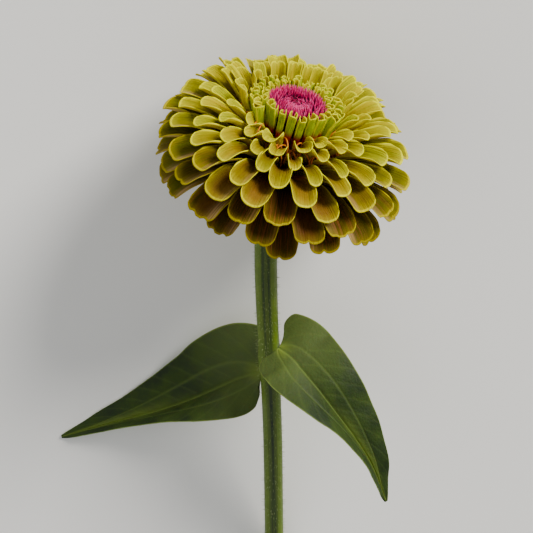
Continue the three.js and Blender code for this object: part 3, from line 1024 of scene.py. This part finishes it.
# %% One bract's numbers
bract_rows = [
    {"count": 8, "root": (4.4, -12.9), "tip": (6.6, -10.1), "width": 3.9},
    {"count": 9, "root": (4.9, -11.9), "tip": (7.8, -8.6), "width": 4.4},
    {"count": 10, "root": (5.7, -10.6), "tip": (9.0, -7.2), "width": 4.8},
    {"count": 11, "root": (6.7, -9.2), "tip": (9.9, -5.9), "width": 4.9},
    {"count": 12, "root": (7.8, -7.7), "tip": (10.5, -4.9), "width": 4.7},
]
bract_rise = 38
bract_droop = 68
bract_cup = 62
first_bract_draw = 800


def bract(index, number, ring):
    """All the numbers of one bract."""
    chance = first_bract_draw + index + 20 * number
    return {
        **midrib(ring["root"], bract_rise, ring["tip"], bract_droop),
        "azimuth": (index + 0.5 * (number % 2) + 0.06 * sway(chance, 1)) * 2 * math.pi / ring["count"],
        "width": ring["width"] * (1 + 0.08 * sway(chance, 2)),
        "cup": math.radians(bract_cup),
        "flatten": 0.1,
        "foot": 0.85,
        "turn": math.radians(4 * sway(chance, 3)),
        "skew": 0.2 * sway(chance, 4),
        "round": 0.42,
        "lobe_place": 0.0,
        "lobe_depth": 0.0,
        "curl": 0.0,
        "tone": draw(chance, 5),
    }


bracts = guide_mesh("bracts", in_rings(bract, bract_rows))
print("bracts:", len(bracts.vertices))

# %% Cup, bracts and their finish
def bract_material():
    material, tree, shader = new_material("bracts", Specular_IOR_Level=0.35)
    across, share, tip, tone = carried(tree, "across", "share", "tip", "tone")
    edge = abs(across)
    blotch = use(tree, mottle, Scale=500)
    vein = use(tree, veins, Across=edge, Along=share, Count=9, Chance=tone)
    ribbed = blend(vein * 0.5, blend(blotch, "#3f6316", "#5f8526"), "#86a545")
    rim = edge.rise(0.78, 0.98).at_least(tip.rise(0.86, 0.97))
    color = blend(rim * share.rise(0.2, 0.5), ribbed, "#3a2413")
    finish_material(shader, color, roughness=0.55 + blotch * 0.1, height=vein, depth=0.1)
    return material


bract_finish = bract_material()
cup_profile = [(0, -13.7), (4.3, -13.7), (5.6, -11), (8.3, -7.2), (9.0, -5), (8.6, -4.1), (0, -4.1)]
mesh = turned("involucre cup", cup_profile, sides=48)
put("involucre_cup", mesh, lay_head_down, "involucre", bract_finish)
flat = {"Wave": 0.2, "Rim": 0.0, "Ridge": 0.0}
mesh = grow(ray_floret, bracts, Across=11, Along=12, Material=bract_finish, **flat)
put("bracts", mesh, lay_head_down, "involucre")

# %% [markdown]
# ## Curves through points
# The stem and the leaf ribs follow smooth curves through a few chosen points, with knots spaced by the
# square root of the distance between points, which keeps the curve from looping between close points.

# %% Smooth curves
def row_lengths(vectors):
    return np.linalg.norm(vectors, axis=-1, keepdims=True)


def read_at(wanted, known, places):
    """Places along a line, read between the known ones."""
    return np.stack([np.interp(wanted, known, column) for column in places.T], axis=-1)


def smooth_line(points, steps):
    """Evenly spaced places along a centripetal curve through the points, and the directions there."""
    places = np.array(points, dtype=float)
    padded = np.vstack([2 * places[0] - places[1], places, 2 * places[-1] - places[-2]])
    t = np.linspace(0, 1, 40, endpoint=False)[:, None]
    stretches = []
    for p0, p1, p2, p3 in zip(padded, padded[1:], padded[2:], padded[3:]):
        d0, d1, d2 = (np.sqrt(np.linalg.norm(b - a)) for a, b in ((p0, p1), (p1, p2), (p2, p3)))
        start = ((p1 - p0) / d0 - (p2 - p0) / (d0 + d1) + (p2 - p1) / d1) * d1
        end = ((p2 - p1) / d1 - (p3 - p1) / (d1 + d2) + (p3 - p2) / d2) * d1
        square = 3 * (p2 - p1) - 2 * start - end
        cube = 2 * (p1 - p2) + start + end
        stretches.append(p1 + start * t + square * t ** 2 + cube * t ** 3)
    dense = np.vstack([*stretches, places[-1:]])
    lengths = np.concatenate([[0], np.cumsum(row_lengths(np.diff(dense, axis=0)))])
    line = read_at(np.linspace(0, lengths[-1], steps + 1), lengths, dense)
    along = np.gradient(line, axis=0)
    return line, along / row_lengths(along)


print("curve helpers ready")

# %% [markdown]
# ## The stem
# The stem is stiff, slightly grooved, thicker under the head and at the leaves, and finely hairy. A ring
# with four shallow grooves is swept along its curve with Curve to Mesh, scaled by the girth that each guide
# point carries. A second tree then scatters about two thousand short hairs over the surface with a fixed
# seed. Each is a cone with three sides, because rounder ones would be heavier and look no better.

# %% The stem's line and girth
stem_end = -150
stem_points = [head_axis * height for height in (stem_top, -20)]
stem_points += [(-4.5, 0, -32), (-4.2, 0, -50), (-3.4, 0, -72)]
stem_points += [(-2.7, 0, -95), (-2.4, 0, -122), (-2.2, 0, stem_end)]
stem_steps = 150
leaf_pair_height = -67
last_ring = 0.06


def stem_radius(height):
    """The stem's radius at a height, swollen under the head and where the leaves join."""
    thick = 3.15 + 0.45 * smooth(height, -90, -30)
    return thick + 0.7 * smooth(height, -24, -14) + 0.5 * np.exp(-(((height - leaf_pair_height) / 5) ** 2))


stem_line, stem_along = smooth_line(stem_points, stem_steps)
stem_line = np.vstack([stem_line[:-1], stem_line[-1] - stem_along[-1] * last_ring, stem_line[-1]])
stem_edges = [(step, step + 1) for step in range(len(stem_line) - 1)]
stem_guide = new_mesh("stem guide", stem_line.tolist(), edges=stem_edges)
carry(stem_guide, "girth", stem_radius(stem_line[:, 2]))
carry(stem_guide, "height", stem_line[:, 2])
print("points along the stem:", len(stem_line))

# %% Trees for the stem and its hairs
def stem_tree():
    tree, inputs = new_tree("grooved stem", {"Sides": 48, "Ridges": 4, "Groove": 0.05, "Material": None})
    ring = add(tree, "GeometryNodeCurvePrimitiveCircle", {"Resolution": inputs["Sides"], "Radius": 1.0})
    x, y, _ = separate(add(tree, "GeometryNodeInputPosition"))
    ridge = (y.arctan2(x) * inputs["Ridges"] + math.pi).cos() * 0.5 + 0.5
    reach = 1 - inputs["Groove"] * 2 * (1 - ridge)
    ring = move(store(ring, "ridge", ridge), combine(x * reach, y * reach, 0.0))
    [girth] = named(tree, "girth")
    line = then(inputs["Geometry"], "MeshToCurve")
    swept = then(line, "CurveToMesh", {"Profile Curve": ring, "Scale": girth, "Fill Caps": True})
    return close_tree(swept, inputs["Material"])


def hair_tree():
    tree, inputs = new_tree("stem hairs", {"Density": 1.0, "Length": 0.9, "Seed": 7, "Material": None})
    scatter = {"Density": inputs["Density"], "Seed": inputs["Seed"]}
    spots = then(inputs["Geometry"], "DistributePointsOnFaces", scatter, "Points")
    hair = add(tree, "GeometryNodeMeshCone", {
        "Vertices": 3, "Radius Top": 0.008, "Radius Bottom": 0.045, "Depth": inputs["Length"],
    })
    size = add(tree, "FunctionNodeRandomValue", {2: 0.5, 3: 1.2, "Seed": inputs["Seed"]}, 1)
    outwards = Field(tree, spots.socket.node.outputs["Rotation"])
    hairs = then(spots, "InstanceOnPoints", {"Instance": hair, "Rotation": outwards, "Scale": size})
    return close_tree(hairs, inputs["Material"])


grooved_stem = stem_tree()
stem_hairs = hair_tree()
print("trees:", grooved_stem.name, "and", stem_hairs.name)

# %% [markdown]
# ## The stem's finish
# The stem is green, painted deep green in its grooves as painted shade and yellower on its ridges as a
# painted highlight, with fine lines along it. Its cut end shows the pale pith.

# %% Stem and hairs
def stem_material():
    material, tree, shader = new_material("stem", Subsurface_Weight=0.1, Subsurface_Scale=0.001)
    blotch = use(tree, mottle, Scale=300)
    ridge, height = carried(tree, "ridge", "height")
    fine = use(tree, veins, Across=ridge, Along=height * 0.01, Count=7, Chance=0.3)
    # Deep green in the grooves is painted shade, and yellow-green on the ridges is a painted highlight.
    green = blend(ridge.rise(0.1, 0.9), "#0e2201", "#5a7204")
    green = blend(fine * 0.3, green, "#7c9012")
    green = blend(blotch * 0.4, green, "#3a5008")
    pith = (height * -1).rise(-stem_end - 0.07, -stem_end - 0.01)
    color = blend(pith, green, "#b9c48a")
    finish_material(shader, color, roughness=0.5 + blotch * 0.1, height=fine, depth=0.1)
    return material


hair_finish = plain_material("hairs", "#b9c48c", "#93a35c", roughness=0.6, depth=0.01, scale=300)
stem_mesh = grow(grooved_stem, stem_guide, Sides=48, Groove=0.05, Material=stem_material())
hair_mesh = grow(stem_hairs, stem_mesh.copy(), Density=0.7, Material=hair_finish)
put("stem_ridged", stem_mesh, lay_down, "stem")
put("stem_hairs", hair_mesh, lay_down, "stem")

# %% [markdown]
# ## The leaves
# The two leaves clasp the stem and hang out to either side, folded along the midrib and curling under at
# the tip. Each is worked out on a fine grid of places across and along the blade: a rib line, a direction
# the blade faces, and a width and fold for each half that change along the leaf. A grid suits them better
# than a tree of nodes, because only two are needed and each has its own measures.

# %% The leaves' measures
leaf_shares = (0, 0.04, 0.12, 0.24, 0.38, 0.53, 0.68, 0.84, 1)
leaves = {
    "leaf_left": {
        "hand": -1,
        "line": [
            (-5.5, 2.7, -74.5), (-13.2, 4.6, -79), (-26, 7, -88),
            (-37, 8.5, -94), (-49, 9.8, -99), (-67, 11, -106),
        ],
        "facing": ((-0.1, -0.85, 0.5), (-0.1, -0.7, 0.7)),
        "lobes": (7, -4),
        "width": ((9, 14, 16.5, 16, 13.5, 10.5, 7, 3.8, 0.4), (6.5, 10, 12, 12.5, 11, 8.5, 6, 3.4, 0.4)),
        "fold": ((5, 6, 8, 10, 10, 10, 10, 10, 0), (10, 16, 30, 48, 60, 66, 64, 56, 0)),
    },
    "leaf_right": {
        "hand": 1,
        "line": [
            (-0.9, -2.9, -61.6), (2.9, -6.6, -62.4), (5.5, -9.3, -64.2), (10.6, -13.5, -68.8),
            (15.9, -16.5, -75.2), (21.1, -19, -82), (25.8, -21, -89.6), (30.7, -22, -103.5),
        ],
        "facing": ((0.1, -0.75, 0.6), (0.35, -0.85, 0.4)),
        "lobes": (6, 3),
        "width": ((8, 11.5, 13, 13, 12, 10, 7.2, 4, 0.4), (6.5, 9, 10.5, 11, 10, 8, 5.8, 3.4, 0.4)),
        "fold": ((0, 4, 8, 12, 14, 14, 14, 12, 0), (0, 6, 14, 32, 48, 60, 62, 56, 0)),
    },
}
blade_thickness = 0.5
leaf_clearance = 0.35
base_corner = 0.035
rib_steps = 400
print("leaves:", list(leaves))

# %% [markdown]
# ## The blade's middle surface
# The rib line comes first. Then each half of the blade is laid out from it, turned up by its fold, rippled
# towards the margin and drawn back into a lobe at the base. What would reach into the stem is moved out of
# it, so the lobes clasp it closely.

# %% The rib
def through(share, values):
    """A smooth curve through the values at a leaf's shares, read at every share."""
    scale = 20
    points = [(place, value / scale, 0) for place, value in zip(leaf_shares, values)]
    curve, _ = smooth_line(points, rib_steps)
    return np.interp(share, curve[:, 0], curve[:, 1] * scale)


def leaf_rib(leaf, share):
    """The rib's places and the directions along it, to its side and out of the blade."""
    even = np.linspace(0, 1, rib_steps + 1)
    line, along = (read_at(share, even, places) for places in smooth_line(leaf["line"], rib_steps))
    facing = np.outer(1 - share, leaf["facing"][0]) + np.outer(share, leaf["facing"][1])
    side = np.cross(facing, along)
    side /= row_lengths(side)
    return line, along, side, np.cross(along, side)


print("rib rule ready")

# %% The two halves
def clear_of_stem(places):
    """Moves places level out of the stem, just far enough to clear it."""
    centre = read_at(-places[..., 2], -stem_line[:, 2], stem_line[:, :2])
    away = places[..., :2] - centre
    distance = row_lengths(away)
    least = (stem_radius(places[..., 2]) + leaf_clearance)[..., None]
    places[..., :2] = centre + away / distance * np.maximum(distance, least)
    return places


def blade_places(leaf, across, share, rib):
    """The middle of the blade at every place along and across it."""
    line, along, side, normal = (directions[:, None] for directions in rib)
    corner = 1 - np.clip(share / base_corner, 0, 1)
    rounding = (0.7 + 0.3 * np.sqrt(1 - corner ** 2))[:, None]
    places = np.zeros((len(share), len(across), 3))
    for half, pick in enumerate((across > 0, across <= 0)):
        amount = np.abs(across[pick])[None, :]
        width = through(share, leaf["width"][half])[:, None] * amount * rounding
        fold = np.radians(through(share, leaf["fold"][half]))[:, None]
        ripple = 0.35 * np.sin(share * 34 + 2.5 * half) * smooth(share, 0.05, 0.3)
        wave = ripple[:, None] * amount ** 3
        sideways = width * np.cos(fold) * leaf["hand"] * (1 - 2 * half)
        lifted = width * np.sin(fold) - 0.01 * width ** 2 + wave
        backwards = leaf["lobes"][half] * ((1 - share) ** 8)[:, None] * (amount * rounding) ** 2
        sideways, lifted, backwards = (amounts[..., None] for amounts in (sideways, lifted, backwards))
        places[:, pick] = line + side * sideways + normal * lifted - along * backwards
    return clear_of_stem(places)


print("blade rule ready")

# %% [markdown]
# ## Veins and thickness
# Three main veins run the length of a zinnia leaf: the midrib and two that arch beside it, with finer ones
# between them. They sink into the upper side and stand out below, which shows better as shape than as a
# bump, so the two sides of the blade are set off from its middle and joined along the edge.

# %% Veins
def vein_depth(across, share):
    """How much of a vein there is at each place, 1 on the midrib."""
    edge = np.abs(across)
    arch = 0.42 * np.sin(np.pi * share ** 0.7) ** 0.6
    branch = (share * 11 - edge * 2.2) % 1
    midrib_vein = np.exp(-((edge / (0.035 + 0.03 * share)) ** 2))
    arching = 0.55 * np.exp(-(((edge - arch) / 0.03) ** 2))
    branches = 0.2 * np.exp(-(((branch - 0.5) / 0.07) ** 2)) * smooth(edge, 0.03, 0.1)
    return np.maximum(midrib_vein, np.maximum(arching, branches)) * (1 - smooth(share, 0.93, 1))


print("vein depth on the midrib and beside it:", [round(vein_depth(x, 0.5), 2) for x in (0, 0.2)])

# %% A closed blade
def closed_sheet(name, upper, lower, numbers):
    """Joins an upper and a lower grid of places along their edges."""
    rows, columns = upper.shape[:2]
    count = rows * columns
    index = np.arange(count).reshape(rows, columns)
    under = index + count
    above = [index[:-1, :-1], index[:-1, 1:], index[1:, 1:], index[1:, :-1]]
    below = [under[:-1, :-1], under[1:, :-1], under[1:, 1:], under[:-1, 1:]]
    quads = [np.stack(corners, axis=-1).reshape(-1, 4) for corners in (above, below)]
    rim = np.concatenate([index[0, :-1], index[:-1, -1], index[-1, :0:-1], index[:0:-1, 0]])
    ahead = np.roll(rim, -1)
    quads.append(np.stack([rim, rim + count, ahead + count, ahead], axis=-1))
    points = np.vstack([upper.reshape(-1, 3), lower.reshape(-1, 3)])
    mesh = new_mesh(name, points.tolist(), np.vstack(quads).tolist())
    for key, values in numbers.items():
        carry(mesh, key, np.tile(values.ravel(), 2))
    carry(mesh, "face", np.repeat([1.0, -1.0], count))
    return mesh


def leaf_mesh(name, leaf, columns=48, rows=130):
    """A thin closed blade with its veins, from a leaf's few measures."""
    share = np.linspace(0, 1, rows + 1) ** 1.4
    across = np.linspace(-1, 1, 2 * columns + 1)
    rib = leaf_rib(leaf, share)
    *_, normal = rib
    places = blade_places(leaf, across, share, rib)
    upwards = np.cross(np.gradient(places, axis=1), np.gradient(places, axis=0))
    upwards /= np.maximum(row_lengths(upwards), 1e-9)
    upwards *= np.sign(np.sum(upwards * normal[:, None], axis=-1, keepdims=True))
    thickness = blade_thickness * (1 - 0.6 * np.abs(across) ** 6)[None, :, None] / 2
    across, share = np.meshgrid(across, share)
    vein = vein_depth(across, share)
    upper = places + upwards * (thickness - 0.3 * vein[..., None])
    lower = places - upwards * (thickness + 0.3 * vein[..., None])
    return closed_sheet(name, upper, lower, {"across": across, "share": share, "vein": vein})


print("leaf rule ready")

# %% [markdown]
# ## The leaves' finish
# The upper side is a dull deep green with a slight gloss, painted paler towards the base and down the
# middle as a painted highlight, the veins are yellower, and the lower side is greyer. All of it follows the
# numbers that the grid carries.

# %% Leaf material and pieces
def leaf_material():
    material, tree, shader = new_material(
        "leaf", Subsurface_Weight=0.08, Subsurface_Scale=0.001, Specular_IOR_Level=0.25
    )
    blotch = use(tree, mottle, Scale=180)
    grain = use(tree, mottle, Scale=1400)
    across, share, vein, face = carried(tree, "across", "share", "vein", "face")
    edge = abs(across)
    green = blend(blotch, "#182804", "#2a3c06")
    under = blend(blotch, "#526a28", "#647c34")
    body = blend(face.rise(-0.2, 0.2), under, green)
    # Paler towards the base and, below, down the middle: a painted highlight.
    body = blend((1 - share.rise(0.05, 0.4)) * 0.5, body, "#5c6c30")
    middle = 1 - edge.rise(0.0, 0.4)
    painted_highlight = (share.rise(0.25, 0.8) * 0.5).at_least((1 - share.rise(0.0, 0.1)) * 0.8)
    with_painted_highlight = blend(middle * painted_highlight, body, "#74862a")
    margin = blend(edge.rise(0.965, 1.0) * 0.7, with_painted_highlight, "#7f9440")
    color = blend(vein * 0.35, margin, "#74883a")
    relief = blotch + grain * 0.4
    finish_material(shader, color, roughness=0.6 + blotch * 0.12, height=relief, depth=0.12)
    return material


leaf_finish = leaf_material()
for name, leaf in leaves.items():
    put(f"{name}_blade", leaf_mesh(name, leaf), lay_down, name, leaf_finish)

# %% [markdown]
# ## Floor and lights
# The flower lies on a plain pale surface under soft studio light. In the photograph the light comes from
# above the head and from the right, and the lower petals stay darker. So the large key light stands high
# on the right, and only a weak wide light fills from the other side.

# %% Stage
def sun(name, towards, strength, softness, color):
    """A soft sun that shines from a direction given against the upright flower."""
    data = bpy.data.lights.new(name, "SUN")
    data.energy = strength
    data.angle = math.radians(softness)
    data.color = color
    light = in_scene(name, data)
    direction = (turn_down @ Vector(towards)).normalized()
    light.location = flower_place + direction
    light.rotation_euler = direction.to_track_quat("Z", "Y").to_euler()


sun("key", towards=(0.75, -0.35, 1.0), strength=4.7, softness=24, color=(1.0, 0.98, 0.94))
sun("fill", towards=(-0.8, -1.0, 0.3), strength=0.5, softness=60, color=(0.94, 0.97, 1.0))

world = bpy.data.worlds.new("soft room")
world.use_nodes = True
room = world.node_tree.nodes["Background"]
room.inputs["Color"].default_value = paint("#f3f5f7")
room.inputs["Strength"].default_value = 0.48
scene.world = world

floor_half = 3
corners = [(x * floor_half, y * floor_half, 0) for x, y in ((-1, -1), (1, -1), (1, 1), (-1, 1))]
floor_mesh = new_mesh("floor", corners, [(0, 1, 2, 3)])
floor_material, _, floor_shader = new_material("floor", Roughness=0.85)
floor_shader.inputs["Base Color"].default_value = paint("#f2f0eb")
floor_mesh.materials.append(floor_material)
floor = in_scene("floor", floor_mesh)
floor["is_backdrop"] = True
print("lights:", len(bpy.data.lights))

# %% [markdown]
# ## Sizes
# The imported model's box and the visual model's box are both printed, in millimetres. The visual model
# must stay in the imported model's box, apart from a few per cent.

# %% Print the boxes and finish
visual_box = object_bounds()
boxes = {"cad": [list(corner) for corner in cad_box], "visual": [list(corner) for corner in visual_box]}
for name, box in boxes.items():
    print(name, "box, mm:", [[round(c / MM, 1) for c in corner] for corner in box])
